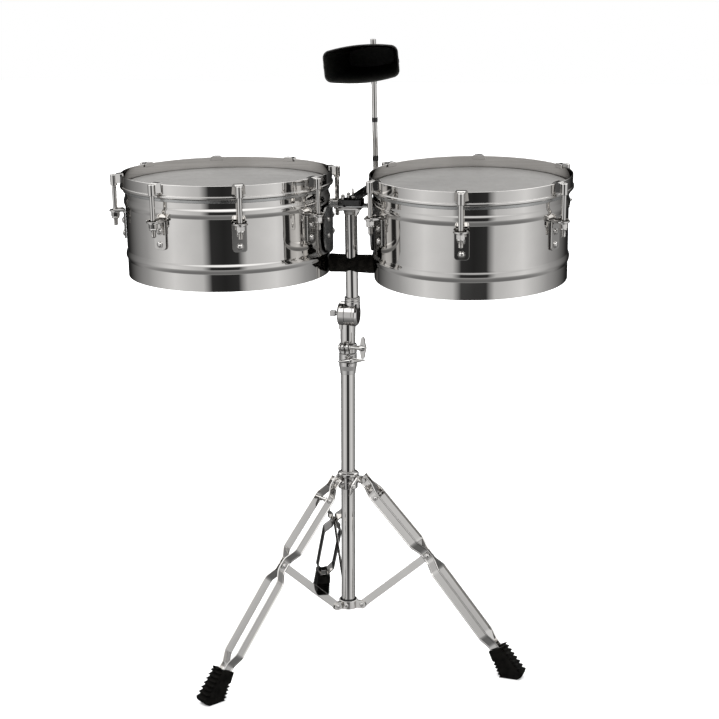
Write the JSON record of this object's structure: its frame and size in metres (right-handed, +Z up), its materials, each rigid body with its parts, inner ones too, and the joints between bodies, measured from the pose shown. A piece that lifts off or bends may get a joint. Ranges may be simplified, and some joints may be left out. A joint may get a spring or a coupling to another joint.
{
  "type": "timbales",
  "caption": "Metal shell drums of two sizes with hoops, hooks and lugs on a folding tripod stand with a tilter, foam bumper bar and a cowbell on a rod.",
  "frame": {"origin": "on the floor under the middle of the whole object", "axes": "+Z up; +X from the large drum to the small drum; -Y towards the player"},
  "size_m": [0.7978, 0.5898, 1.1193],
  "materials": {
    "chrome": "polished mirror plating with faint smudges",
    "drum_head": "frosted film, matte",
    "rubber": "moulded black rubber",
    "foam": "closed cell black foam sleeve",
    "black_paint": "black powder coat"
  },
  "bodies": {
    "base": {"base_tube_with_brace_collar": "chrome", "height_clamp": "chrome"},
    "hub": {"leg_hub": "chrome"},
    "hub_bolt": {"leg_hub_wing_bolt": "chrome"},
    "leg_1": {"leg_1": "chrome", "rubber_foot_1": "rubber"},
    "brace_1": {"brace_1": "chrome"},
    "leg_2": {"leg_2": "chrome", "rubber_foot_2": "rubber"},
    "brace_2": {"brace_2": "chrome"},
    "leg_3": {"leg_3": "chrome", "rubber_foot_3": "rubber"},
    "brace_3": {"brace_3": "chrome"},
    "height_bolt": {"height_wing_bolt": "chrome"},
    "lock": {"memory_lock": "chrome"},
    "lock_bolt": {"memory_lock_wing_bolt": "chrome"},
    "post": {"height_tube_with_tilter_base": "chrome"},
    "key_bolt": {"tilter_key_bolt": "chrome"},
    "mast": {"tilter_head": "chrome", "mast_with_top_plate": "chrome", "bar_foam": "foam", "left_bracket": "chrome", "right_bracket": "chrome", "left_shell": "chrome", "right_shell": "chrome", "left_head": "drum_head", "right_head": "drum_head", "left_lug_1": "chrome", "left_lug_2": "chrome", "left_lug_3": "chrome", "left_lug_4": "chrome", "left_lug_5": "chrome", "left_lug_6": "chrome", "left_lug_7": "chrome", "left_lug_8": "chrome", "right_lug_1": "chrome", "right_lug_2": "chrome", "right_lug_3": "chrome", "right_lug_4": "chrome", "right_lug_5": "chrome", "right_lug_6": "chrome"},
    "left_tuning": {"left_hoop": "chrome", "left_tension_hook_1": "chrome", "left_tension_hook_2": "chrome", "left_tension_hook_3": "chrome", "left_tension_hook_4": "chrome", "left_tension_hook_5": "chrome", "left_tension_hook_6": "chrome", "left_tension_hook_7": "chrome", "left_tension_hook_8": "chrome"},
    "right_tuning": {"right_hoop": "chrome", "right_tension_hook_1": "chrome", "right_tension_hook_2": "chrome", "right_tension_hook_3": "chrome", "right_tension_hook_4": "chrome", "right_tension_hook_5": "chrome", "right_tension_hook_6": "chrome"},
    "bell_arm": {"cowbell_arm": "chrome"},
    "bell_rod": {"cowbell_rod": "chrome"},
    "bell": {"cowbell": "black_paint"}
  },
  "joints": [
    {"name": "leg_fold", "type": "slide", "parent": "base", "child": "hub", "axis": [0, 0, 1], "range_m": [-0.015, 0.096]},
    {"name": "hub_bolt_turn", "type": "hinge", "parent": "hub", "child": "hub_bolt", "pos_m": [0.00496, -0.0166, 0.333], "axis": [0.5, -0.866, 0], "range_deg": [0, 540]},
    {"name": "leg_1_hinge", "type": "hinge", "parent": "hub", "child": "leg_1", "pos_m": [-0.01384, -0.04238, 0.3408], "axis": [0.808, -0.5892, 0], "range_deg": [-6, 33.5]},
    {"name": "brace_1_hinge", "type": "hinge", "parent": "base", "child": "brace_1", "pos_m": [-0.01101, -0.0385, 0.1002], "axis": [-0.808, 0.5892, 0], "range_deg": [-7, 38.5]},
    {"name": "leg_2_hinge", "type": "hinge", "parent": "hub", "child": "leg_2", "pos_m": [0.03668, -0.01999, 0.3408], "axis": [0.1063, 0.9943, 0], "range_deg": [-6, 33.5]},
    {"name": "brace_2_hinge", "type": "hinge", "parent": "base", "child": "brace_2", "pos_m": [0.03191, -0.01948, 0.1002], "axis": [-0.1063, -0.9943, 0], "range_deg": [-7, 38.5]},
    {"name": "leg_3_hinge", "type": "hinge", "parent": "hub", "child": "leg_3", "pos_m": [-0.00796, 0.01256, 0.3408], "axis": [-0.9143, -0.4051, 0], "range_deg": [-6, 33.5]},
    {"name": "brace_3_hinge", "type": "hinge", "parent": "base", "child": "brace_3", "pos_m": [-0.00602, 0.00817, 0.1002], "axis": [0.9143, 0.4051, 0], "range_deg": [-7, 38.5]},
    {"name": "height_bolt_turn", "type": "hinge", "parent": "base", "child": "height_bolt", "pos_m": [0.00496, -0.0166, 0.5645], "axis": [0.4384, -0.8988, 0], "range_deg": [-45, 3]},
    {"name": "height_slide", "type": "slide", "parent": "base", "child": "lock", "axis": [0, 0, 1], "range_m": [0, 0.25]},
    {"name": "lock_bolt_turn", "type": "hinge", "parent": "lock", "child": "lock_bolt", "pos_m": [0.00496, -0.0376, 0.5878], "axis": [1, 0, 0], "range_deg": [0, 540]},
    {"name": "post_swivel", "type": "hinge", "parent": "lock", "child": "post", "pos_m": [0.00496, -0.0166, 0.6], "axis": [0, 0, 1], "continuous": true},
    {"name": "key_bolt_turn", "type": "hinge", "parent": "post", "child": "key_bolt", "pos_m": [0.00496, -0.0166, 0.644], "axis": [-1, 0, 0], "range_deg": [0, 540]},
    {"name": "drum_tilt", "type": "hinge", "parent": "post", "child": "mast", "pos_m": [0.00496, -0.0166, 0.644], "axis": [1, 0, 0], "range_deg": [-25, 40]},
    {"name": "left_tuning_slide", "type": "slide", "parent": "mast", "child": "left_tuning", "axis": [0, -0.0489, 0.9988], "range_m": [0, 0.008]},
    {"name": "right_tuning_slide", "type": "slide", "parent": "mast", "child": "right_tuning", "axis": [0, -0.0854, 0.9963], "range_m": [0, 0.008]},
    {"name": "bell_arm_swivel", "type": "hinge", "parent": "mast", "child": "bell_arm", "pos_m": [0.01346, -0.02973, 0.84157], "axis": [0, -0.0663, 0.9978], "range_deg": [0, 25]},
    {"name": "bell_rod_slide", "type": "slide", "parent": "bell_arm", "child": "bell_rod", "axis": [-0.0087, -0.0663, 0.9978], "range_m": [-0.028, 0.015]},
    {"name": "bell_turn", "type": "hinge", "parent": "bell_rod", "child": "bell", "pos_m": [0.04056, 0.0515, 0.86801], "axis": [-0.0087, -0.0663, 0.9978], "range_deg": [-90, 90]}
  ],
  "couplings": [
    {"joint": "leg_1_hinge", "follows": "leg_fold", "rad_per_m": 5.854},
    {"joint": "brace_1_hinge", "follows": "leg_fold", "rad_per_m": 6.546},
    {"joint": "leg_2_hinge", "follows": "leg_fold", "rad_per_m": 5.854},
    {"joint": "brace_2_hinge", "follows": "leg_fold", "rad_per_m": 6.546},
    {"joint": "leg_3_hinge", "follows": "leg_fold", "rad_per_m": 5.854},
    {"joint": "brace_3_hinge", "follows": "leg_fold", "rad_per_m": 6.546}
  ]
}
